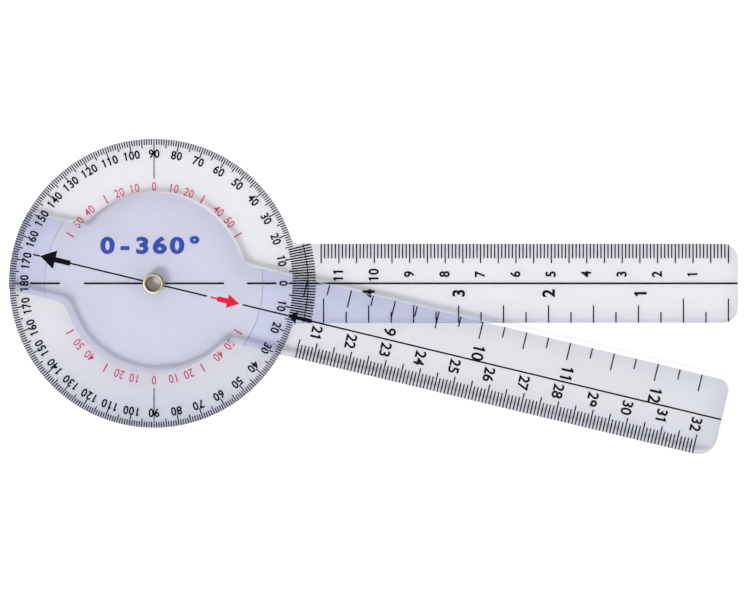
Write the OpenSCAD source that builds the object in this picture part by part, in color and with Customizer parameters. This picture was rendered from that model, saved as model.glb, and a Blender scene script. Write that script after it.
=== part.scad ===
// Clear plastic pocket goniometer: a full-circle protractor moulded with a ruled arm,
// a second ruled arm with a hub and a tail that turns on it, and a hollow brass eyelet
// that holds the two together. The printed marks are thin ink films of their own.
// Origin: on the pivot axis, in the face of the protractor that the moving arm turns against.
// +X runs along the fixed arm, +Z comes out of the face that is read.

/* [Protractor] */
// Radius of the protractor disc
disc_r = 40.8; // [32:0.1:60]
// Width of the thick rim that carries the degree scale
rim_w = 10; // [5:0.1:14]
// Thickness of each moulded plate
plate_t = 1.5; // [1:0.05:3]
// Depth of the shallow recess in each mating face
recess_t = 0.4; // [0.1:0.05:0.45]
// Air gap between the two plates at the rim
plate_gap = 0.15; // [0.1:0.05:0.5]

/* [Arms] */
// Width of both arms
arm_w = 22.4; // [16:0.1:32]
// Reach of the fixed arm from the pivot
fixed_reach = 164.8; // [110:0.2:220]
// Reach of the moving arm from the pivot
moving_reach = 164.6; // [110:0.2:220]
// Radius of the fixed arm's rounded tip corners
tip_corner_r = 4.5; // [1:0.1:8]
// Radius of the moving arm's tip corner on the side of its inch rule
inch_corner_r = 3.2; // [1:0.1:8]
// Radius of the moving arm's tip corner on the side of its centimetre rule
centimetre_corner_r = 5.2; // [1:0.1:5.2]
// Fillet where the fixed arm leaves the disc
arm_fillet_r = 2.5; // [0.5:0.1:6]
// Radius of the moving arm's hub
hub_r = 25.6; // [18:0.1:31]
// Fillet where the moving arm and its tail leave the hub
hub_fillet_r = 5; // [1:0.1:8]
// Angle of the moving arm at rest, counter-clockwise from the fixed arm
arm_angle = -13.5; // [-180:0.5:180]

/* [Pivot] */
// Radius of the hole through the hollow eyelet
bore_r = 1.9; // [1:0.05:3]
// Wall of the eyelet's barrel
barrel_wall = 0.25; // [0.15:0.05:0.6]
// How far the rolled flanges stand out past the barrel
flange_out = 0.87; // [0.6:0.01:2]
// Height of each rolled flange
flange_h = 0.62; // [0.4:0.02:0.7]
// Width of the flat left on the crest of the back roll where it is set
land_w = 0.4; // [0.2:0.05:0.6]
// Radial running clearance of the plates on the barrel
pivot_clear = 0.06; // [0.02:0.01:0.1]
// Axial play of the moving arm, at each face
end_play = 0.05; // [0.02:0.01:0.2]
// Thickness of the washer under the back roll
back_washer_t = 0.25; // [0.15:0.05:0.6]
// Radial margin by which both washers stay inside the flange
washer_inset = 0.04; // [0:0.01:0.3]

/* [Degree scale] */
// Length of the single-degree marks
degree_len = 1.7; // [1:0.1:3]
// Length of the five-degree marks
five_degree_len = 2.5; // [1.5:0.1:4]
// Length of the ten-degree marks
ten_degree_len = 3.3; // [2:0.1:5]
// How far the marks run out onto the fixed arm, past the disc radius
arm_mark_out = 4.9; // [1:0.1:8]
// Distance of the thin arc on the fixed arm outside the disc radius
arm_arc_out = 2.7; // [0.5:0.1:6]
// Radius at which the red second scale is centred, inwards from the disc edge
red_scale_in = 13.4; // [6:0.1:16]
// Length of the red marks
red_mark_len = 2.6; // [1:0.1:4]

/* [Rules] */
// Distance of the fixed rules' zero from the arm tip
zero_in = 2.6; // [1:0.1:6]
// How far the moving rules fall short of carrying on the fixed ones when the arms are opened straight
rule_shift = 1; // [0:0.1:5]
// Length of the millimetre marks
mm_len = 4; // [2:0.1:5]
// Length of the five and ten millimetre marks
cm_len = 5.4; // [3:0.1:7]
// Length of the quarter-inch marks
quarter_len = 3; // [2:0.1:5]
// Length of the half-inch and inch marks
inch_len = 4.9; // [3:0.1:7]
// Length of the long marks at both ends of the fixed inch rule
long_inch_len = 6.8; // [4:0.1:8]

/* [Printed lines] */
// Line width of the degree marks
degree_line = 0.32; // [0.1:0.02:0.5]
// Width of the degree marks that run out onto the fixed arm
arm_degree_line = 0.40; // [0.1:0.02:0.5]
// Line width of the rule marks
rule_line = 0.38; // [0.1:0.02:0.5]
// Line width of the long reference lines
long_line = 0.52; // [0.1:0.02:0.8]
// Width of the two upright reference lines
upright_line = 0.28; // [0.1:0.02:0.8]
// Line width of the thin arc and of the moving arm's line
fine_line = 0.46; // [0.1:0.02:0.5]
// Width of the arc across the fixed arm
arc_line = 0.30; // [0.1:0.02:0.5]
// Thickness of the ink film
ink_t = 0.04; // [0.02:0.01:0.1]
// Margin that the ink keeps from the edge of the plastic
ink_margin = 0.12; // [0.05:0.01:0.5]

/* [Hidden] */
$fn = 96;
cut = 0.5;                                   // overshoot of a cutting solid
fillet_nip = 0.02;                           // how far a fillet circle reaches into what it joins
half_w = arm_w / 2;
inch = 25.4;
recess_r = disc_r - rim_w;

// Heights of the stack, down and up from the protractor's upper face
z_disc = -plate_t;                           // underside of the protractor
z_washer = z_disc - back_washer_t;           // seat of the back roll
z_rest = z_washer - flange_h;                // plane on which the back roll rests
z_moving = plate_gap;                        // underside of the moving arm
z_moving_top = z_moving + plate_t;
z_flange = z_moving_top + end_play;          // underside of the front flange
z_top = z_flange + flange_h;

barrel_r = bore_r + barrel_wall;
flange_r = barrel_r + flange_out;
hole_r = barrel_r + pivot_clear;
roll_mid_r = (bore_r + flange_r) / 2;        // centre of the rolled section
roll_r = (flange_r - bore_r) / 2;
roll_crest = sqrt(roll_r * roll_r - land_w * land_w / 4);   // height of the flat over the centre
washer_r = flange_r - washer_inset;

// Degree marks that the long reference lines take the place of
lined_degrees = [0, 90, 270];
// Largest whole degree whose mark still runs out onto the fixed arm
arm_degrees = floor(asin((half_w - ink_margin) / (disc_r + arm_mark_out)));

// Fixed rules, counted from the zero near the tip towards the disc
fixed_zero_x = fixed_reach - zero_in;
fixed_run = fixed_zero_x - disc_r - arm_mark_out;
fixed_mm_last = 5 * floor(fixed_run / 5);
fixed_quarter_last = floor(fixed_run / (inch / 4));

// Moving rules, counted from their zero on the far side of the pivot
moving_zero = fixed_zero_x - rule_shift;
moving_from = moving_zero + disc_r + 1;
moving_to = moving_zero + moving_reach - tip_corner_r;
moving_mm_first = 5 * ceil(moving_from / 5);
moving_mm_last = 5 * floor(moving_to / 5);
moving_quarter_first = ceil(moving_from / (inch / 4) - 0.2);
moving_quarter_last = floor(moving_to / (inch / 4));

// Reference lines on the disc, as distances in from the disc edge
upright_in = 11.2;                           // inner end of the two upright lines
left_outer_in = 5.8;
left_inner_in = 14.3;
centre_dash_in = 21;                         // outer ends of the dash through the pivot
right_inner_in = 14.6;
right_outer_in = 6.2;
arm_line_in = 2.8;                           // start of the fixed arm's centre line

// Pointers on the moving arm
tail_tip_in = 7.9;                           // tip of the tail pointer, in from the disc edge
tail_head = [4.4, 5.4];                      // length and width of its head
tail_stem = [4.4, 1.5];
tail_line_out = 2;                           // thin line ahead of its tip
arm_tip_in = 1.7;                            // tip of the arm pointer, in from the disc edge
arm_head = [2.4, 3.7];
arm_stem = [4.4, 1];
arm_gap_in = 15;                             // start of the line between hub edge and pointer
red_tip_in = 16;                             // tip of the red pointer, in from the disc edge
red_head = [3.4, 4];
red_stem = [2.9, 1.5];
red_line = 2;                                // thin red tail
red_gap = 1;                                 // bare plastic behind the red tail

// Plastic left in the corner between a disc and an arm edge: a triangle from the pivot with the
// fillet circle cut away. The circle nips into both, so that the surfaces cross cleanly.
module corner_fillet(round_r, fillet_r) {
    centre_y = half_w + fillet_r - fillet_nip;
    centre_x = sqrt(pow(round_r + fillet_r - fillet_nip, 2) - pow(centre_y, 2));
    difference() {
        polygon([[0, 0], [centre_x, centre_y], [centre_x, 0]]);
        translate([centre_x, centre_y]) circle(r = fillet_r);
    }
}

// Straight arm from the pivot to its tip, with rounded tip corners
module arm_outline(reach, upper_r, lower_r) {
    square([reach - upper_r, half_w]);
    translate([0, -half_w]) square([reach - lower_r, half_w]);
    translate([0, lower_r - half_w]) square([reach, arm_w - lower_r - upper_r]);
    translate([reach - upper_r, half_w - upper_r]) circle(r = upper_r);
    translate([reach - lower_r, lower_r - half_w]) circle(r = lower_r);
}

// Each outline becomes a plate of its own, and the plates overlap into one
module as_plates() {
    for (i = [0 : $children - 1])
        linear_extrude(plate_t) children(i);
}

module protractor_plate() {
    as_plates() {
        circle(r = disc_r, $fn = 180);
        arm_outline(fixed_reach, tip_corner_r, tip_corner_r);
        corner_fillet(disc_r, arm_fillet_r);
        mirror([0, 1]) corner_fillet(disc_r, arm_fillet_r);
    }
}

module moving_plate() {
    as_plates() {
        circle(r = hub_r, $fn = 180);
        arm_outline(moving_reach, inch_corner_r, centimetre_corner_r);
        corner_fillet(hub_r, hub_fillet_r);
        mirror([0, 1]) corner_fillet(hub_r, hub_fillet_r);
        mirror([1, 0]) corner_fillet(hub_r, hub_fillet_r);
        rotate(180) corner_fillet(hub_r, hub_fillet_r);
        intersection() {
            circle(r = disc_r, $fn = 180);
            translate([-disc_r, -half_w]) square([disc_r, arm_w]);
        }
    }
}

// Everything on the moving arm is drawn along +X and turned to its rest angle
module on_moving_arm() {
    rotate([0, 0, arm_angle]) children();
}

module protractor_body() {
    color([0.88, 0.9, 0.94, 0.5])
    difference() {
        translate([0, 0, z_disc]) protractor_plate();
        translate([0, 0, -recess_t]) cylinder(r = recess_r, h = recess_t + cut, $fn = 180);
        translate([0, 0, z_disc - cut]) cylinder(r = hole_r, h = plate_t + 2 * cut);
    }
}

module moving_arm() {
    color([0.86, 0.88, 0.93, 0.5])
    on_moving_arm()
    difference() {
        translate([0, 0, z_moving]) moving_plate();
        translate([0, 0, z_moving - cut]) cylinder(r = recess_r, h = recess_t + cut, $fn = 180);
        translate([0, 0, z_moving - cut]) cylinder(r = hole_r, h = plate_t + 2 * cut);
    }
}

// Rolled flange: a ring of round section, cut flat where it bears on its seat
module rolled_flange(centre_z, seat_z, above_seat) {
    difference() {
        rotate_extrude() translate([roll_mid_r, centre_z]) circle(r = roll_r, $fn = 64);
        translate([0, 0, above_seat ? seat_z - 2 * roll_r : seat_z])
        cylinder(r = flange_r + cut, h = 2 * roll_r);
    }
}

module eyelet() {
    back_mid_z = z_rest + roll_crest;
    front_mid_z = z_top - roll_r;
    color([0.8, 0.68, 0.38])
    difference() {
        union() {
            translate([0, 0, back_mid_z]) cylinder(r = barrel_r, h = front_mid_z - back_mid_z);
            rolled_flange(front_mid_z, z_flange, true);
            rolled_flange(back_mid_z, z_washer, false);
        }
        translate([0, 0, z_rest - cut]) cylinder(r = bore_r, h = z_top - z_rest + 2 * cut);
        translate([0, 0, z_rest - 2 * cut]) cylinder(r = flange_r + cut, h = 2 * cut);
    }
}

module ring(inner_r, outer_r, bottom_z, top_z) {
    difference() {
        translate([0, 0, bottom_z]) cylinder(r = outer_r, h = top_z - bottom_z);
        translate([0, 0, bottom_z - cut]) cylinder(r = inner_r, h = top_z - bottom_z + 2 * cut);
    }
}

// Sits in the shallow cavity and spaces the thinned centres of the two plates
module friction_washer() {
    color([0.9, 0.9, 0.88])
    ring(hole_r, washer_r, -recess_t, z_moving + recess_t - end_play);
}

module back_washer() {
    color([0.75, 0.62, 0.35])
    ring(hole_r, washer_r, z_washer, z_disc);
}

// Ink on the fixed plate lies on its underside, ink on the moving arm on its top
module fixed_ink(shade) {
    color(shade) translate([0, 0, z_disc - ink_t]) linear_extrude(ink_t) children();
}

module moving_ink(shade) {
    color(shade) on_moving_arm() translate([0, 0, z_moving_top]) linear_extrude(ink_t) children();
}

// Line along +X from one distance to another
module line_x(from_x, to_x, width) {
    translate([from_x, -width / 2]) square([to_x - from_x, width]);
}

// Arrow that points along +X, from the back of its stem to its tip
module arrow(tip_x, head, stem) {
    back_x = tip_x - head[0];
    polygon([[tip_x, 0], [back_x, head[1] / 2], [back_x, stem[1] / 2], [back_x - stem[0], stem[1] / 2],
             [back_x - stem[0], -stem[1] / 2], [back_x, -stem[1] / 2], [back_x, -head[1] / 2]]);
}

function degree_mark_len(degree) =
    degree % 10 == 0 ? ten_degree_len : degree % 5 == 0 ? five_degree_len : degree_len;
function on_arm(degree) = degree <= arm_degrees || degree >= 360 - arm_degrees;
function is_lined(degree) = len(search(degree, lined_degrees)) > 0;

module degree_marks() {
    arc_r = disc_r + arm_arc_out;
    fixed_ink([0.08, 0.08, 0.12]) {
        for (degree = [0 : 359])
            if (!is_lined(degree))
                rotate(degree)
                line_x(disc_r - degree_mark_len(degree),
                       on_arm(degree) ? disc_r + arm_mark_out : disc_r - ink_margin,
                       on_arm(degree) ? arm_degree_line : degree_line);
        for (side = [-1, 1])
            intersection() {
                difference() {
                    circle(r = arc_r + arc_line / 2, $fn = 180);
                    circle(r = arc_r - arc_line / 2, $fn = 180);
                }
                translate([0, side > 0 ? long_line / 2 : ink_margin - half_w])
                square([arc_r + arc_line, half_w - ink_margin - long_line / 2]);
            }
    }
}

module reference_lines() {
    fixed_ink([0.08, 0.08, 0.12]) {
        line_x(disc_r - arm_line_in, fixed_reach - ink_margin, long_line);
        line_x(disc_r - right_inner_in, disc_r - right_outer_in, long_line);
        line_x(flange_r, disc_r - centre_dash_in, long_line);
        line_x(centre_dash_in - disc_r, -flange_r, long_line);
        line_x(left_outer_in - disc_r, left_inner_in - disc_r, long_line);
        for (up = [90, 270])
            rotate(up) line_x(disc_r - upright_in, disc_r - ink_margin, upright_line);
    }
}

// The second scale is counted from the upright lines, both ways, at the top and the bottom
module red_scale_marks() {
    mid_r = disc_r - red_scale_in;
    fixed_ink([0.85, 0.25, 0.4])
    for (from = [90, 270], side = [-1, 1], degree = [30, 60])
        rotate(from + side * degree) line_x(mid_r - red_mark_len / 2, mid_r + red_mark_len / 2, rule_line);
}

// Marks that start at an arm's edge and run inwards; the upper edge is +Y
module edge_mark(x, mark_len, upper) {
    from_y = half_w - ink_margin - mark_len;
    translate([x - rule_line / 2, upper ? from_y : -from_y - mark_len]) square([rule_line, mark_len]);
}

module fixed_centimetre_marks() {
    fixed_ink([0.08, 0.08, 0.12])
    for (mm = [0 : fixed_mm_last])
        edge_mark(fixed_zero_x - mm, mm % 5 == 0 ? cm_len : mm_len, true);
}

function fixed_quarter_len(quarter) =
    quarter == 0 || quarter == 2 || quarter == fixed_quarter_last ? long_inch_len
    : quarter % 2 == 0 ? inch_len : quarter_len;

module fixed_inch_marks() {
    fixed_ink([0.08, 0.08, 0.12])
    for (quarter = [0 : fixed_quarter_last])
        edge_mark(fixed_zero_x - quarter * inch / 4, fixed_quarter_len(quarter), false);
}

module moving_centre_line() {
    tail_tip_x = tail_tip_in - disc_r;
    red_back_x = disc_r - red_tip_in - red_head[0] - red_stem[0] - red_line - red_gap;
    moving_ink([0.08, 0.08, 0.12]) {
        line_x(tail_tip_x - tail_line_out, tail_tip_x, fine_line);
        line_x(tail_tip_x + tail_head[0] + tail_stem[0], -flange_r, fine_line);
        line_x(flange_r, red_back_x, fine_line);
        line_x(disc_r - arm_gap_in, disc_r - arm_tip_in, fine_line);
        line_x(disc_r - arm_tip_in + arm_head[0] + arm_stem[0], moving_reach - ink_margin, fine_line);
    }
}

module tail_pointer() {
    moving_ink([0.08, 0.08, 0.12]) mirror([1, 0]) arrow(disc_r - tail_tip_in, tail_head, tail_stem);
}

module arm_pointer() {
    moving_ink([0.08, 0.08, 0.12]) mirror([1, 0]) arrow(arm_tip_in - disc_r, arm_head, arm_stem);
}

module red_pointer() {
    tip_x = disc_r - red_tip_in;
    stem_x = tip_x - red_head[0] - red_stem[0];
    moving_ink([0.9, 0.13, 0.23]) {
        arrow(tip_x, red_head, red_stem);
        line_x(stem_x - red_line, stem_x, fine_line);
    }
}

module moving_centimetre_marks() {
    moving_ink([0.08, 0.08, 0.12])
    for (mm = [moving_mm_first : moving_mm_last])
        edge_mark(mm - moving_zero, mm % 5 == 0 ? cm_len : mm_len, false);
}

module moving_inch_marks() {
    moving_ink([0.08, 0.08, 0.12])
    for (quarter = [moving_quarter_first : moving_quarter_last])
        edge_mark(quarter * inch / 4 - moving_zero, quarter % 2 == 0 ? inch_len : quarter_len, true);
}

protractor_body();
moving_arm();
eyelet();
friction_washer();
back_washer();
degree_marks();
reference_lines();
red_scale_marks();
fixed_centimetre_marks();
fixed_inch_marks();
moving_centre_line();
tail_pointer();
arm_pointer();
red_pointer();
moving_centimetre_marks();
moving_inch_marks();
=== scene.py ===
import math

import bpy
from mathutils import Matrix, Vector


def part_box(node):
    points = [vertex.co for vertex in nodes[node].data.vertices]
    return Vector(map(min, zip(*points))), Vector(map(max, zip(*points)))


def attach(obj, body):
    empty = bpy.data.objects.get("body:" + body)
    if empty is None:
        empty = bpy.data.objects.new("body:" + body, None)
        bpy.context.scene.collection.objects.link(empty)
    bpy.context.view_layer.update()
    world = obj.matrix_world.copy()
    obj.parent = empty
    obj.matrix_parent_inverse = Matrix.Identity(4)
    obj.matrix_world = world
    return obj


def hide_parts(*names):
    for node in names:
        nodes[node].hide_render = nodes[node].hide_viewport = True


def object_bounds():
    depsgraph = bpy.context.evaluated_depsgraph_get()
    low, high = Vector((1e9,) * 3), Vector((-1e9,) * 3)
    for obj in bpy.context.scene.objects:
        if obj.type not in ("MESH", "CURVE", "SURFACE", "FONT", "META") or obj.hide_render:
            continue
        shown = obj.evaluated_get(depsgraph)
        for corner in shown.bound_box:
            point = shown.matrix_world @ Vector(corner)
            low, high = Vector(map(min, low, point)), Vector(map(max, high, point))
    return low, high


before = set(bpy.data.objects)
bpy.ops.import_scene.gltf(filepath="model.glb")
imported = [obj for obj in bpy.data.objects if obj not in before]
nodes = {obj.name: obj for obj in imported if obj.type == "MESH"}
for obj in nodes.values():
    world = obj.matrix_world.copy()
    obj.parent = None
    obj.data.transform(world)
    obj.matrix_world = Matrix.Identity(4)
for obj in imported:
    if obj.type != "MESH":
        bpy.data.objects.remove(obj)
cadBox = [list(corner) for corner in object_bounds()]
mm = 0.001
print("packed model loaded:", len(nodes), "nodes")


# small helpers

def deselectAll():
    if bpy.context.object and bpy.context.object.mode != "OBJECT":
        bpy.ops.object.mode_set(mode="OBJECT")
    bpy.ops.object.select_all(action="DESELECT")


def pick(*pieces):  # only these are selected, the last one is active
    deselectAll()
    for piece in pieces:
        piece.select_set(True)
    bpy.context.view_layer.objects.active = pieces[-1]


def settle(piece):  # place, turn and size go into the mesh
    pick(piece)
    bpy.ops.object.transform_apply(location=True, rotation=True, scale=True)


def applyModifiers(piece):
    pick(piece)
    for modifier in list(piece.modifiers):
        bpy.ops.object.modifier_apply(modifier=modifier.name)


def linear(hexColour, alpha=1.0):  # sRGB hex to linear RGBA
    value = hexColour.lstrip("#")
    channels = [int(value[i:i + 2], 16) / 255 for i in (0, 2, 4)]
    return tuple(c / 12.92 if c <= 0.04045 else ((c + 0.055) / 1.055) ** 2.4 for c in channels) + (alpha,)


def addNode(tree, kind, settings=None, links=None):
    # settings are the node's own fields or socket values, links are socket -> output
    node = tree.nodes.new(kind)
    for key, value in (settings or {}).items():
        if isinstance(key, str) and hasattr(node, key):
            setattr(node, key, value)
        else:
            node.inputs[key].default_value = value
    for key, output in (links or {}).items():
        tree.links.new(output, node.inputs[key])
    return node


def newMaterial(name):
    material = bpy.data.materials.new(name)
    material.use_nodes = True
    material.node_tree.nodes.clear()
    return material, material.node_tree


def paint(piece, *materials):
    piece.data.materials.clear()
    for material in materials:
        piece.data.materials.append(material)


# clear plastic

def clearPlastic(name, look):
    # Clear moulded plastic: almost colourless, polished by the mould, with faint flow waves,
    # a few specks of dust and hairline scuffs. Lamp light has a tint of its own, lampTint.
    material, tree = newMaterial(name)
    place = addNode(tree, "ShaderNodeTexCoord").outputs["Object"]
    waves = addNode(tree, "ShaderNodeTexNoise",
                    {"Scale": 1 / (look["waveSize"] * mm), "Detail": 1.5},
                    {"Vector": place})
    scuffs = addNode(tree, "ShaderNodeTexNoise",
                     {"Scale": 1 / (look["scuffSize"] * mm), "Detail": 3.0},
                     {"Vector": place})
    height = addNode(tree, "ShaderNodeMath", {"operation": "MULTIPLY_ADD", 1: look["scuffShare"]},
                     {0: scuffs.outputs["Fac"], 2: waves.outputs["Fac"]})
    bump = addNode(tree, "ShaderNodeBump", {"Strength": 1.0, "Distance": look["waveHeight"] * mm},
                   {"Height": height.outputs[0]})
    specks = addNode(tree, "ShaderNodeTexVoronoi", {"Scale": 1 / (look["speckPitch"] * mm)},
                     {"Vector": place})
    speckMask = addNode(tree, "ShaderNodeMapRange",
                        {"From Min": look["speckSize"] * look["speckCore"], "From Max": look["speckSize"],
                         "To Min": 1.0, "To Max": 0.0},
                        {"Value": specks.outputs["Distance"]})
    sparse = addNode(tree, "ShaderNodeSeparateColor", None, {"Color": specks.outputs["Color"]})
    rare = addNode(tree, "ShaderNodeMath", {"operation": "GREATER_THAN", 1: 1 - look["speckShare"]},
                   {0: sparse.outputs["Red"]})
    speck = addNode(tree, "ShaderNodeMath", {"operation": "MULTIPLY"},
                    {0: speckMask.outputs[0], 1: rare.outputs[0]})
    tint = addNode(tree, "ShaderNodeMix",
                   {"data_type": "RGBA", 6: linear(look["tint"]), 7: linear(look["tintDense"])},
                   {"Factor": waves.outputs["Fac"]})
    if "paintedShadeTint" in look:
        # painted shade: the plate's colour darkens slowly along one direction, towards the bottom of the
        # protractor and towards the tip of the arm, where less light falls on them
        along = addNode(tree, "ShaderNodeVectorMath",
                        {"operation": "DOT_PRODUCT", 1: look["fadeAlong"]},
                        {0: place})
        fade = addNode(tree, "ShaderNodeMapRange",
                       {"From Min": look["fadeFrom"] * mm, "From Max": look["fadeTo"] * mm},
                       {"Value": along.outputs["Value"]})
        tint = addNode(tree, "ShaderNodeMix", {"data_type": "RGBA", 7: linear(look["paintedShadeTint"])},
                       {"Factor": fade.outputs[0], 6: tint.outputs[2]})
    if "layerTint" in look:
        # a tint of its own where it is seen through another clear plate
        path = addNode(tree, "ShaderNodeLightPath")
        layered = addNode(tree, "ShaderNodeMath", {"operation": "GREATER_THAN", 1: look["layersAbove"]},
                          {0: path.outputs["Transmission Depth"]})
        tint = addNode(tree, "ShaderNodeMix", {"data_type": "RGBA", 7: linear(look["layerTint"])},
                       {"Factor": layered.outputs[0], 6: tint.outputs[2]})
    dusty = addNode(tree, "ShaderNodeMix", {"data_type": "RGBA", 7: linear(look["speckTint"])},
                    {"Factor": speck.outputs[0], 6: tint.outputs[2]})
    body = addNode(tree, "ShaderNodeBsdfPrincipled",
                   {"Roughness": look["roughness"], "IOR": 1.53, "Transmission Weight": 1.0},
                   {"Base Color": dusty.outputs[2], "Normal": bump.outputs[0]})
    lampLight = addNode(tree, "ShaderNodeBsdfTransparent", {"Color": linear(look["lampTint"])})
    if "outline" in look:
        # the rounded edges throw light aside, so less of it comes through beside them
        shape = look["outline"]
        turned = addNode(tree, "ShaderNodeVectorRotate",
                         {"rotation_type": "Z_AXIS", "Angle": -math.radians(shape["turn"])},
                         {"Vector": place})
        split = addNode(tree, "ShaderNodeSeparateXYZ", None, {0: turned.outputs[0]})
        across = addNode(tree, "ShaderNodeMath", {"operation": "ABSOLUTE"}, {0: split.outputs["Y"]})
        toSide = addNode(tree, "ShaderNodeMath", {"operation": "SUBTRACT", 0: shape["halfWidth"] * mm},
                         {1: across.outputs[0]})
        toTip = addNode(tree, "ShaderNodeMath", {"operation": "SUBTRACT", 0: shape["reach"] * mm},
                        {1: split.outputs["X"]})
        inStrip = addNode(tree, "ShaderNodeMath", {"operation": "MINIMUM"},
                          {0: toSide.outputs[0], 1: toTip.outputs[0]})
        flatPlace = addNode(tree, "ShaderNodeVectorMath", {"operation": "MULTIPLY", 1: (1, 1, 0)},
                            {0: place})
        fromPivot = addNode(tree, "ShaderNodeVectorMath", {"operation": "LENGTH"},
                            {0: flatPlace.outputs[0]})
        inHub = addNode(tree, "ShaderNodeMath", {"operation": "SUBTRACT", 0: shape["hub"] * mm},
                        {1: fromPivot.outputs["Value"]})
        inside = addNode(tree, "ShaderNodeMath", {"operation": "MAXIMUM"},
                         {0: inStrip.outputs[0], 1: inHub.outputs[0]})
        share = addNode(tree, "ShaderNodeMapRange",
                        {"From Min": (shape["depth"] - shape["blur"]) * mm,
                         "From Max": (shape["depth"] + shape["blur"]) * mm},
                        {"Value": inside.outputs[0]})
        far = addNode(tree, "ShaderNodeMapRange",
                      {"From Min": shape["farFrom"] * mm, "From Max": shape["farTo"] * mm},
                      {"Value": split.outputs["X"]})
        nearTint = addNode(tree, "ShaderNodeMix",
                           {"data_type": "RGBA", 6: linear(shape["tint"]), 7: linear(shape["tintFar"])},
                           {"Factor": far.outputs[0]})
        edgeTint = addNode(tree, "ShaderNodeMix", {"data_type": "RGBA", 7: linear(look["lampTint"])},
                           {"Factor": share.outputs[0], 6: nearTint.outputs[2]})
        tree.links.new(edgeTint.outputs[2], lampLight.inputs["Color"])
    rays = addNode(tree, "ShaderNodeLightPath")
    surface = addNode(tree, "ShaderNodeMixShader", None,
                      {0: rays.outputs["Is Shadow Ray"], 1: body.outputs[0], 2: lampLight.outputs[0]})
    addNode(tree, "ShaderNodeOutputMaterial", None, {"Surface": surface.outputs[0]})
    return material


plateFinish = {  # sizes in mm
    "waveSize": 9.0, "waveHeight": 0.012, "scuffSize": 0.9, "scuffShare": 0.04,
    "speckPitch": 5.0, "speckSize": 0.05, "speckCore": 0.6, "speckShare": 0.3, "speckTint": "a8a9b4",
    "roughness": 0.03, "tint": "d2d2d6", "tintDense": "cfcfd3", "lampTint": "ffffff",
}
# painted shade: the protractor grows darker towards its lower side
protractorFade = {
    "fadeAlong": (0, -1, 0), "fadeFrom": 2, "fadeTo": 36, "paintedShadeTint": "b8bac5", "layersAbove": 1.5,
}
armOutline = {  # the moving arm's own outline, as it lies at rest
    "turn": -13.5, "halfWidth": 11.2, "reach": 164.6, "hub": 25.6, "depth": 1.0, "blur": 0.25,
    "tint": "5e606e", "tintFar": "bcbeca", "farFrom": 66, "farTo": 84,
}
# painted shade: the moving arm grows darker towards its tip
armFade = {
    "fadeAlong": (0.972, -0.233, 0), "fadeFrom": 45, "fadeTo": 165, "paintedShadeTint": "c8c9cf",
    "tint": "d1d1d5", "tintDense": "cfcfd3", "outline": armOutline,
}
protractorClear = clearPlastic("clear_pvc_polished_protractor",
                               {**plateFinish, **protractorFade, "layerTint": "e6eaff"})
armClear = clearPlastic("clear_pvc_polished_arm", {**plateFinish, **armFade})
protractorRecess = clearPlastic("clear_pvc_recess_protractor",
                                {**plateFinish, **protractorFade, "layerTint": "f4f2fa"})
# the protractor's trimmed edge faces are rougher, and darker as painted shade for the dark lines along its
# edges
protractorEdge = clearPlastic("clear_pvc_trimmed_edge_painted_shade_protractor",
                              {**plateFinish, "tint": "b4b6c6", "tintDense": "aaadbf",
                               "lampTint": "c8cad2", "roughness": 0.08})
# the arm's trimmed edge faces are rougher, and lighter as a painted highlight along its edges
armEdge = clearPlastic("clear_pvc_trimmed_edge_painted_highlight_arm",
                       {**plateFinish, "tint": "dcdee6", "tintDense": "d2d5e0",
                        "lampTint": "a0a3b0", "roughness": 0.08})
print("clear plastic ready")


# the two moulded plates

plateEdges = {  # sizes in mm, angles in degrees
    "bevel": 0.16, "segments": 2, "sharp": 30, "skin": 0.004, "recess": 30.8, "stepWeight": 0.4,
    "weld": 0.002, "flatten": 0.4, "flatNormal": 0.999,
    "stepEdgeReach": 0.05, "stepFaceReach": 0.15, "faceMargin": 0.2,
}


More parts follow.
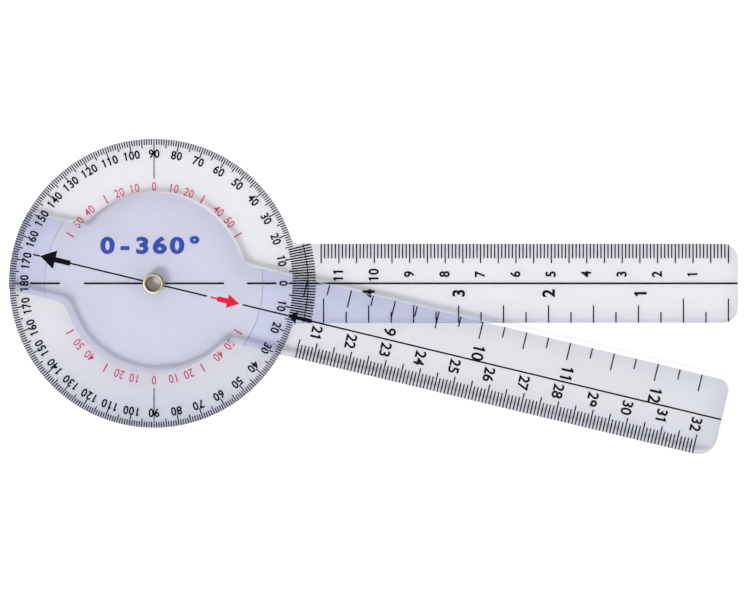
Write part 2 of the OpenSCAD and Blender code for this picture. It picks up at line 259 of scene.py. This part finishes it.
def plateFrom(nodeName, pieceName, faceMaterial, edgeMaterial, recessMaterial):
    source = nodes[nodeName]
    piece = bpy.data.objects.new(pieceName, source.data.copy())
    bpy.context.scene.collection.objects.link(piece)
    pick(piece)
    bpy.ops.object.mode_set(mode="EDIT")
    bpy.ops.mesh.select_all(action="SELECT")
    bpy.ops.mesh.remove_doubles(threshold=plateEdges["weld"] * mm)
    bpy.ops.mesh.dissolve_limited(angle_limit=math.radians(plateEdges["flatten"]))
    bpy.ops.mesh.select_mode(type="EDGE")
    bpy.ops.mesh.select_all(action="DESELECT")
    bpy.ops.mesh.edges_select_sharp(sharpness=math.radians(plateEdges["sharp"]))
    bpy.ops.object.mode_set(mode="OBJECT")
    bpy.context.tool_settings.mesh_select_mode = (True, False, False)
    # all sharp edges are broken, the step of the recess only a little
    weights = piece.data.attributes.new("bevel_weight_edge", "FLOAT", "EDGE")
    for edge in piece.data.edges:
        ends = [piece.data.vertices[i].co.xy.length for i in edge.vertices]
        onStep = all(abs(end - plateEdges["recess"] * mm) < plateEdges["stepEdgeReach"] * mm for end in ends)
        sharpWeight = plateEdges["stepWeight"] if onStep else 1.0
        weights.data[edge.index].value = sharpWeight if edge.select else 0.0
    bevel = piece.modifiers.new("broken edges", "BEVEL")
    bevel.width = plateEdges["bevel"] * mm
    bevel.segments = plateEdges["segments"]
    bevel.limit_method = "WEIGHT"
    bevel.use_clamp_overlap = False
    applyModifiers(piece)
    skin = piece.modifiers.new("clear of the ink", "DISPLACE")
    skin.mid_level = 0
    skin.strength = -plateEdges["skin"] * mm
    applyModifiers(piece)
    paint(piece, faceMaterial, edgeMaterial, recessMaterial)
    # level faces between the protractor's underside and its upper face are the floor of the recess
    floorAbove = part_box("protractor_body")[0].z + plateEdges["faceMargin"] * mm
    floorBelow = -plateEdges["faceMargin"] * mm
    for face in piece.data.polygons:
        flat = abs(face.normal.z) > plateEdges["flatNormal"]
        face.material_index = 0 if flat else 1
        fromStep = abs(face.center.xy.length - plateEdges["recess"] * mm)
        onStep = fromStep < plateEdges["stepFaceReach"] * mm
        if onStep or (flat and floorAbove < face.center.z < floorBelow):
            face.material_index = 2
        face.use_smooth = not flat
    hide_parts(nodeName)
    return piece


protractor = plateFrom("protractor_body", "protractor_plate",
                       protractorClear, protractorEdge, protractorRecess)
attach(protractor, "protractor")
movingArm = plateFrom("moving_arm", "moving_arm_plate", armClear, armEdge, armClear)
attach(movingArm, "arm")
print("plates:", len(protractor.data.polygons), len(movingArm.data.polygons), "faces")


# inks

def printInk(name, look):
    # Printing ink, dried semi-matt: a film of slightly uneven colour and gloss, with a fine bump.
    material, tree = newMaterial(name)
    place = addNode(tree, "ShaderNodeTexCoord").outputs["Object"]
    film = addNode(tree, "ShaderNodeTexNoise",
                   {"Scale": 1 / (look["patchSize"] * mm), "Detail": 2.0},
                   {"Vector": place})
    mesh = addNode(tree, "ShaderNodeTexNoise",
                   {"Scale": 1 / (look["meshSize"] * mm), "Detail": 1.0},
                   {"Vector": place})
    colour = addNode(tree, "ShaderNodeMix",
                     {"data_type": "RGBA", 6: linear(look["thick"]), 7: linear(look["thin"])},
                     {"Factor": film.outputs["Fac"]})
    bump = addNode(tree, "ShaderNodeBump", {"Strength": 0.4, "Distance": 0.01 * mm},
                   {"Height": mesh.outputs["Fac"]})
    gloss = addNode(tree, "ShaderNodeMapRange",
                    {"To Min": look["gloss"] - 0.06, "To Max": look["gloss"] + 0.08},
                    {"Value": film.outputs["Fac"]})
    body = addNode(tree, "ShaderNodeBsdfPrincipled", {"IOR": 1.48, "Specular IOR Level": 0.12},
                   {"Base Color": colour.outputs[2], "Normal": bump.outputs[0],
                    "Roughness": gloss.outputs[0]})
    lampLight = addNode(tree, "ShaderNodeBsdfTransparent", {"Color": linear(look["lampTint"])})
    rays = addNode(tree, "ShaderNodeLightPath")
    surface = addNode(tree, "ShaderNodeMixShader", None,
                      {0: rays.outputs["Is Shadow Ray"], 1: body.outputs[0], 2: lampLight.outputs[0]})
    addNode(tree, "ShaderNodeOutputMaterial", None, {"Surface": surface.outputs[0]})
    return material


blackInk = printInk("black_ink_screen_printed", {"patchSize": 2.5, "meshSize": 0.2, "gloss": 0.42,
                    "thick": "040408", "thin": "0a0a10", "lampTint": "f0f0f3"})
redInk = printInk("red_ink_screen_printed", {"patchSize": 2.0, "meshSize": 0.2, "gloss": 0.40,
                  "thick": "bd1430", "thin": "c8243e", "lampTint": "f6eef0"})
thinRedInk = printInk("red_ink_thin_pass", {"patchSize": 1.0, "meshSize": 0.2, "gloss": 0.45,
                      "thick": "ca3c62", "thin": "da6684", "lampTint": "f6eef0"})
blueInk = printInk("blue_ink_screen_printed", {"patchSize": 2.5, "meshSize": 0.2, "gloss": 0.42,
                   "thick": "2a3c8a", "thin": "364b98", "lampTint": "f2f2f6"})

for name in ("degree_marks", "reference_lines", "fixed_centimetre_marks", "fixed_inch_marks",
             "moving_centre_line", "tail_pointer", "arm_pointer", "moving_centimetre_marks",
             "moving_inch_marks"):
    paint(nodes[name], blackInk)
paint(nodes["red_pointer"], redInk)
paint(nodes["red_scale_marks"], thinRedInk)
print("inks ready")


# printed numerals

filmThickness = 0.04
inkHeights = {  # heights of the middle of the ink films, in mm
    "film": filmThickness,
    "under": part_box("degree_marks")[1].z / mm - filmThickness / 2,
    "over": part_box("moving_centre_line")[0].z / mm + filmThickness / 2,
}
capShare = 0.69  # height of a figure as a share of the font's size
oneFlag = {"out": 0.02, "down": 0.155, "lean": 38, "length": 0.3, "thickness": 0.72}  # shares of the figure
glyphStore = {}


def glyph(sign, look):  # one character, centred on the origin, as a closed film
    key = (sign, look["height"], look["narrow"], look["weight"])
    if key not in glyphStore:
        deselectAll()
        bpy.ops.object.text_add(location=(0, 0, 0))
        text = bpy.context.object
        text.data.body = sign
        text.data.size = look["height"] * mm / capShare
        text.data.offset = look["weight"] * text.data.size
        text.data.extrude = inkHeights["film"] / 2 * mm
        text.data.resolution_u = 5
        pick(text)
        bpy.ops.object.convert(target="MESH")
        piece = bpy.context.object
        low = Vector([min(v.co[i] for v in piece.data.vertices) for i in range(3)])
        high = Vector([max(v.co[i] for v in piece.data.vertices) for i in range(3)])
        if sign == "1":
            stem = high.x - low.x
            tall = high.y - low.y
            bpy.ops.mesh.primitive_cube_add(
                size=1, location=(low.x - oneFlag["out"] * tall, high.y - oneFlag["down"] * tall, 0),
                rotation=(0, 0, math.radians(oneFlag["lean"])),
                scale=(oneFlag["length"] * tall, stem * oneFlag["thickness"], inkHeights["film"] * mm))
            flag = bpy.context.object
            pick(flag, piece)
            bpy.ops.object.join()
            piece = bpy.context.object
        piece.data.transform(Matrix.Translation((-(low.x + high.x) / 2, -look["height"] * mm / 2, 0)))
        piece.data.transform(Matrix.Diagonal((look["narrow"], 1, 1, 1)))
        glyphStore[key] = piece.data.copy()
        bpy.data.objects.remove(piece)
    return glyphStore[key]


def setWord(word, x, y, z, turn, look):  # x, y, z in mm, turn in degrees
    letters = []
    for i, sign in enumerate(word):
        along = (i - (len(word) - 1) / 2) * look["advance"]
        letter = bpy.data.objects.new("letter", glyph(sign, look).copy())
        bpy.context.scene.collection.objects.link(letter)
        letter.data.transform(Matrix.Translation((x * mm, y * mm, z * mm))
                              @ Matrix.Rotation(math.radians(turn), 4, "Z")
                              @ Matrix.Translation((along * mm, 0, 0)))
        letters.append(letter)
    return letters


def finishWords(name, letters, material, body):
    pick(*letters)
    bpy.ops.object.join()
    piece = bpy.context.object
    piece.name = name
    paint(piece, material)
    settle(piece)
    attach(piece, body)
    print(name, len(piece.data.polygons), "faces")
    return piece


degreeFigures = {
    "radius": 36.6, "height": 2.25, "advance": 1.62, "narrow": 0.92, "weight": 0.028, "step": 10,
}
letters = []
for angle in range(0, 360, degreeFigures["step"]):
    label = str(min(angle, 360 - angle))
    a = math.radians(angle)
    letters += setWord(label, degreeFigures["radius"] * math.cos(a), degreeFigures["radius"] * math.sin(a),
                       inkHeights["under"], angle - 90, degreeFigures)
finishWords("degree_numerals", letters, blackInk, "protractor")

redFigures = {"radius": 27.4, "height": 2.35, "advance": 1.5, "narrow": 0.82, "weight": 0.006,
              "labels": {0: 0, 10: 11.7, 20: 21, 40: 41.7, 50: 51}}
letters = []
for label, away in redFigures["labels"].items():
    for axis in (90, 270):
        for side in ((1,) if away == 0 else (1, -1)):
            angle = axis + side * away
            a = math.radians(angle)
            letters += setWord(str(label), redFigures["radius"] * math.cos(a),
                               redFigures["radius"] * math.sin(a), inkHeights["under"], angle - 90,
                               redFigures)
finishWords("red_numerals", letters, thinRedInk, "protractor")

fixedCmFigures = {
    "height": 2.7, "advance": 1.9, "narrow": 0.90, "weight": 0.028, "off": 2.6, "shift": -0.2,
    "dropTwo": 0.25,
}
fixedInchFigures = {
    "height": 3.3, "advance": 2.4, "narrow": 0.95, "weight": 0.030, "off": 2.8, "shiftOne": 0.55,
}
movingCmFigures = {
    "height": 2.9, "advance": 2.05, "narrow": 1.0, "weight": 0.024, "off": 2.95, "shift": -0.9,
}
movingInchFigures = {
    "height": 3.3, "advance": 2.2, "narrow": 0.98, "weight": 0.020, "off": 2.3, "shift": 0.55,
    "drift": 0.2,
}
centimetre = 10
inch = 25.4
fixedZero = 162.2
movingZero = 161.2
armAngle = -13.5

letters = []
for n in range(1, 12):
    lower = fixedCmFigures["dropTwo"] if n > 9 else 0
    letters += setWord(str(n), fixedZero - centimetre * n + fixedCmFigures["shift"],
                       fixedCmFigures["off"] - lower, inkHeights["under"], 90, fixedCmFigures)
finishWords("fixed_centimetre_numerals", letters, blackInk, "protractor")
letters = []
for n in range(1, 5):
    aside = fixedInchFigures["shiftOne"] if n == 1 else 0
    letters += setWord(str(n), fixedZero - inch * n + aside, -fixedInchFigures["off"],
                       inkHeights["under"], 90, fixedInchFigures)
finishWords("fixed_inch_numerals", letters, blackInk, "protractor")


def onArm(along, across):  # a point given along and across the moving arm
    a = math.radians(armAngle)
    return along * math.cos(a) - across * math.sin(a), along * math.sin(a) + across * math.cos(a)


letters = []
for n in range(21, 33):
    x, y = onArm(centimetre * n - movingZero + movingCmFigures["shift"], -movingCmFigures["off"])
    letters += setWord(str(n), x, y, inkHeights["over"], armAngle - 90, movingCmFigures)
finishWords("moving_centimetre_numerals", letters, blackInk, "arm")
letters = []
firstInch = 9
for n in range(firstInch, 13):
    aside = movingInchFigures["shift"] + movingInchFigures["drift"] * (n - firstInch)
    x, y = onArm(inch * n - movingZero + aside, movingInchFigures["off"])
    letters += setWord(str(n), x, y, inkHeights["over"], armAngle - 90, movingInchFigures)
finishWords("moving_inch_numerals", letters, blackInk, "arm")

# plain range mark on the hub
rangeMark = {
    "word": "0-360°", "height": 4.3, "advance": 4.9, "narrow": 1.25, "weight": 0.045,
    "x": -0.7, "y": 10.7,
}
letters = setWord(rangeMark["word"], rangeMark["x"], rangeMark["y"], inkHeights["over"], 0, rangeMark)
finishWords("range_mark", letters, blueInk, "arm")


# brass eyelet

brassZones = {"boreEnd": 1.91, "lipStart": 1.95, "lipEnd": 2.08, "flangeStart": 2.22}  # radii in mm


def rolledBrass(name):
    # Bright drawn brass, slightly tarnished: pale gold with soft streaks. The bore is brown as painted
    # shade, and the lip of the bore near black as painted shade.
    material, tree = newMaterial(name)
    place = addNode(tree, "ShaderNodeTexCoord").outputs["Object"]
    tarnish = addNode(tree, "ShaderNodeTexNoise", {"Scale": 1 / (1.2 * mm), "Detail": 3.0},
                      {"Vector": place})
    grain = addNode(tree, "ShaderNodeTexNoise", {"Scale": 1 / (0.25 * mm), "Detail": 2.0},
                    {"Vector": place})
    pale = addNode(tree, "ShaderNodeMix",
                   {"data_type": "RGBA", 6: linear("f3ead4"), 7: linear("d6c6a2")},
                   {"Factor": tarnish.outputs["Fac"]})
    flatPlace = addNode(tree, "ShaderNodeVectorMath", {"operation": "MULTIPLY", 1: (1, 1, 0)},
                        {0: place})
    fromAxis = addNode(tree, "ShaderNodeVectorMath", {"operation": "LENGTH"}, {0: flatPlace.outputs[0]})
    lip = addNode(tree, "ShaderNodeMapRange",
                  {"From Min": brassZones["boreEnd"] * mm, "From Max": brassZones["lipStart"] * mm},
                  {"Value": fromAxis.outputs["Value"]})
    flange = addNode(tree, "ShaderNodeMapRange",
                     {"From Min": brassZones["lipEnd"] * mm, "From Max": brassZones["flangeStart"] * mm},
                     {"Value": fromAxis.outputs["Value"]})
    # painted shade: brown in the bore, near black at the lip of the bore
    paintedBoreShade = addNode(tree, "ShaderNodeMix",
                    {"data_type": "RGBA", 6: linear("b08450"), 7: linear("2c1c12")},
                    {"Factor": lip.outputs[0]})
    colour = addNode(tree, "ShaderNodeMix", {"data_type": "RGBA"},
                     {"Factor": flange.outputs[0], 6: paintedBoreShade.outputs[2], 7: pale.outputs[2]})
    gloss = addNode(tree, "ShaderNodeMapRange", {"To Min": 0.10, "To Max": 0.24},
                    {"Value": tarnish.outputs["Fac"]})
    bump = addNode(tree, "ShaderNodeBump", {"Strength": 0.35, "Distance": 0.01 * mm},
                   {"Height": grain.outputs["Fac"]})
    body = addNode(tree, "ShaderNodeBsdfPrincipled", {"Metallic": 1.0},
                   {"Base Color": colour.outputs[2], "Roughness": gloss.outputs[0],
                    "Normal": bump.outputs[0]})
    addNode(tree, "ShaderNodeOutputMaterial", None, {"Surface": body.outputs[0]})
    return material


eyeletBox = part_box("eyelet")
eyeletSheet = {  # sizes in mm, angles in degrees
    "wall": 0.25, "bore": 1.9, "turns": 96, "arcSteps": 14, "land": 0.4, "barrelEnd": 0.6,
    "frontStart": -2, "frontSweep": 182, "backStart": 180, "backSweep": 178,
    "startSize": 0.1, "weld": 0.001, "lip": 0.05, "lipAngle": 50, "smoothAngle": 40,
}


def drawProfile(points, start):  # a line of edges through points given as (radius, height) in mm
    deselectAll()
    bpy.ops.mesh.primitive_plane_add(size=eyeletSheet["startSize"] * mm,
                                     location=(start[0] * mm, 0, start[1] * mm))
    bpy.ops.object.mode_set(mode="EDIT")
    bpy.ops.mesh.select_all(action="SELECT")
    bpy.ops.mesh.merge(type="CENTER")
    here = start
    for point in points:
        step = ((point[0] - here[0]) * mm, 0, (point[1] - here[1]) * mm)
        bpy.ops.mesh.extrude_region_move(TRANSFORM_OT_translate={"value": step})
        here = point
    bpy.ops.object.mode_set(mode="OBJECT")
    return bpy.context.object


def makeEyelet():
    wall = eyeletSheet["wall"]
    outer = eyeletBox[1].x / mm
    top = eyeletBox[1].z / mm
    bottom = eyeletBox[0].z / mm
    rollMiddle = (eyeletSheet["bore"] + outer) / 2
    rollRadius = (outer - eyeletSheet["bore"]) / 2 - wall / 2
    half = rollRadius + wall / 2
    frontZ = top - half
    crest = math.sqrt(half ** 2 - (eyeletSheet["land"] / 2) ** 2)
    backZ = bottom + crest
    steps = eyeletSheet["arcSteps"]
    points = []
    for i in range(steps + 1):  # front roll from its lip over the crest to the bore
        a = math.radians(eyeletSheet["frontStart"] + eyeletSheet["frontSweep"] * i / steps)
        points.append((rollMiddle + rollRadius * math.cos(a), frontZ + rollRadius * math.sin(a)))
    points.append((rollMiddle - rollRadius, eyeletSheet["barrelEnd"]))
    points.append((rollMiddle - rollRadius, -eyeletSheet["barrelEnd"]))
    for i in range(steps + 1):  # back roll, set down on its crest
        a = math.radians(eyeletSheet["backStart"] + eyeletSheet["backSweep"] * i / steps)
        low = max(backZ + rollRadius * math.sin(a), bottom + wall / 2)
        points.append((rollMiddle + rollRadius * math.cos(a), low))
    piece = drawProfile(points[1:], points[0])
    bpy.ops.object.mode_set(mode="EDIT")
    bpy.ops.mesh.select_all(action="SELECT")
    bpy.ops.mesh.spin(steps=eyeletSheet["turns"], angle=math.tau, center=(0, 0, 0), axis=(0, 0, 1))
    bpy.ops.mesh.select_all(action="SELECT")
    bpy.ops.mesh.remove_doubles(threshold=eyeletSheet["weld"] * mm)
    bpy.ops.mesh.normals_make_consistent(inside=False)
    bpy.ops.object.mode_set(mode="OBJECT")
    piece.name = "brass_eyelet"
    sheet = piece.modifiers.new("sheet", "SOLIDIFY")
    sheet.thickness = wall * mm
    sheet.offset = 0
    sheet.use_even_offset = True
    soft = piece.modifiers.new("rounded lip", "BEVEL")
    soft.width = eyeletSheet["lip"] * mm
    soft.segments = 2
    soft.limit_method = "ANGLE"
    soft.angle_limit = math.radians(eyeletSheet["lipAngle"])
    applyModifiers(piece)
    settle(piece)
    pick(piece)
    bpy.ops.object.shade_smooth_by_angle(angle=math.radians(eyeletSheet["smoothAngle"]))
    paint(piece, rolledBrass("brass_drawn_rolled"))
    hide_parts("eyelet")
    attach(piece, "protractor")
    print("eyelet:", len(piece.data.polygons), "faces")
    return piece


makeEyelet()


# washers

def washerNylon(name):
    # Stamped natural nylon: milky white, satin, with a fine grain.
    material, tree = newMaterial(name)
    place = addNode(tree, "ShaderNodeTexCoord").outputs["Object"]
    grain = addNode(tree, "ShaderNodeTexNoise", {"Scale": 1 / (0.3 * mm), "Detail": 2.0},
                    {"Vector": place})
    colour = addNode(tree, "ShaderNodeMix",
                     {"data_type": "RGBA", 6: linear("ece9df"), 7: linear("dedacd")},
                     {"Factor": grain.outputs["Fac"]})
    bump = addNode(tree, "ShaderNodeBump", {"Strength": 0.3, "Distance": 0.01 * mm},
                   {"Height": grain.outputs["Fac"]})
    body = addNode(tree, "ShaderNodeBsdfPrincipled",
                   {"Roughness": 0.5, "IOR": 1.53, "Subsurface Weight": 0.1},
                   {"Base Color": colour.outputs[2], "Normal": bump.outputs[0]})
    addNode(tree, "ShaderNodeOutputMaterial", None, {"Surface": body.outputs[0]})
    return material


nylon = washerNylon("nylon_stamped")
paint(nodes["friction_washer"], nylon)
paint(nodes["back_washer"], nylon)


# floor, light and camera

studio = {  # centre and distance in mm, floor size in metres, softness in degrees
    "centre": (62.4, -4.7), "floorSize": 6.0, "floorColour": "f4f4f4",
    "shadowSlope": (0.410, 0.440), "keyPower": 1.78, "keySoftness": 17,
    "fillPower": 3.08, "fillSoftness": 140,
    "skyColour": "f4f6fd", "skyFrom": (-0.55, -0.60, 0.58), "skyDim": 0.16, "skyBright": 2.4,
    "lens": 200, "distance": 1175.6,
}
studioCentre = (studio["centre"][0] * mm, studio["centre"][1] * mm)

bpy.ops.mesh.primitive_plane_add(size=studio["floorSize"], location=(*studioCentre, cadBox[0][2]))
floor = bpy.context.object
floor.name = "floor"
settle(floor)
material, tree = newMaterial("white_paper_sweep")
body = addNode(tree, "ShaderNodeBsdfDiffuse", {"Color": linear(studio["floorColour"])})
addNode(tree, "ShaderNodeOutputMaterial", None, {"Surface": body.outputs[0]})
paint(floor, material)

# the surroundings show in glossy surfaces only: a bright wall on the key side, a dimmer one opposite
world = bpy.data.worlds.new("studio")
bpy.context.scene.world = world
world.use_nodes = True
world.cycles.sampling_method = "NONE"
world.cycles_visibility.diffuse = False
world.cycles_visibility.transmission = False
tree = world.node_tree
tree.nodes.clear()
aim = addNode(tree, "ShaderNodeTexCoord").outputs["Generated"]
side = addNode(tree, "ShaderNodeVectorMath", {"operation": "DOT_PRODUCT", 1: studio["skyFrom"]},
               {0: aim})
ramp = addNode(tree, "ShaderNodeMapRange",
               {"From Min": -0.3, "From Max": 1.0,
                "To Min": studio["skyDim"], "To Max": studio["skyBright"]},
               {"Value": side.outputs["Value"]})
split = addNode(tree, "ShaderNodeSeparateXYZ", None, {0: aim})
overhead = addNode(tree, "ShaderNodeMapRange",
                   {"interpolation_type": "SMOOTHSTEP",
                    "From Min": 0.80, "From Max": 0.95, "To Min": 1.0, "To Max": 0.06},
                   {"Value": split.outputs["Z"]})
strength = addNode(tree, "ShaderNodeMath", {"operation": "MULTIPLY"},
                   {0: ramp.outputs[0], 1: overhead.outputs[0]})
sky = addNode(tree, "ShaderNodeBackground", {"Color": linear(studio["skyColour"])},
              {"Strength": strength.outputs[0]})
addNode(tree, "ShaderNodeOutputWorld", None, {"Surface": sky.outputs[0]})


def softLamp(name, power, softness, slope):
    lampData = bpy.data.lights.new(name, "SUN")
    lampData.energy = power
    lampData.angle = math.radians(softness)
    lampData.cycles.use_multiple_importance_sampling = False  # clear sheets let the whole lamp through
    lamp = bpy.data.objects.new(name, lampData)
    bpy.context.scene.collection.objects.link(lamp)
    lamp.rotation_euler = Vector((*slope, -1)).to_track_quat("-Z", "Y").to_euler()
    lamp.visible_glossy = False
    lamp.visible_transmission = False
    return lamp


softLamp("key", studio["keyPower"], studio["keySoftness"], studio["shadowSlope"])
softLamp("fill", studio["fillPower"], studio["fillSoftness"], (0, 0))

cameraData = bpy.data.cameras.new("camera")
cameraData.lens = studio["lens"]
cameraData.sensor_width = 36
cameraData.clip_start = 0.01
cameraData.clip_end = 20
camera = bpy.data.objects.new("camera", cameraData)
bpy.context.scene.collection.objects.link(camera)
camera.location = (*studioCentre, studio["distance"] * mm)
bpy.context.scene.camera = camera
bpy.context.scene.view_settings.view_transform = "Standard"

print("done")
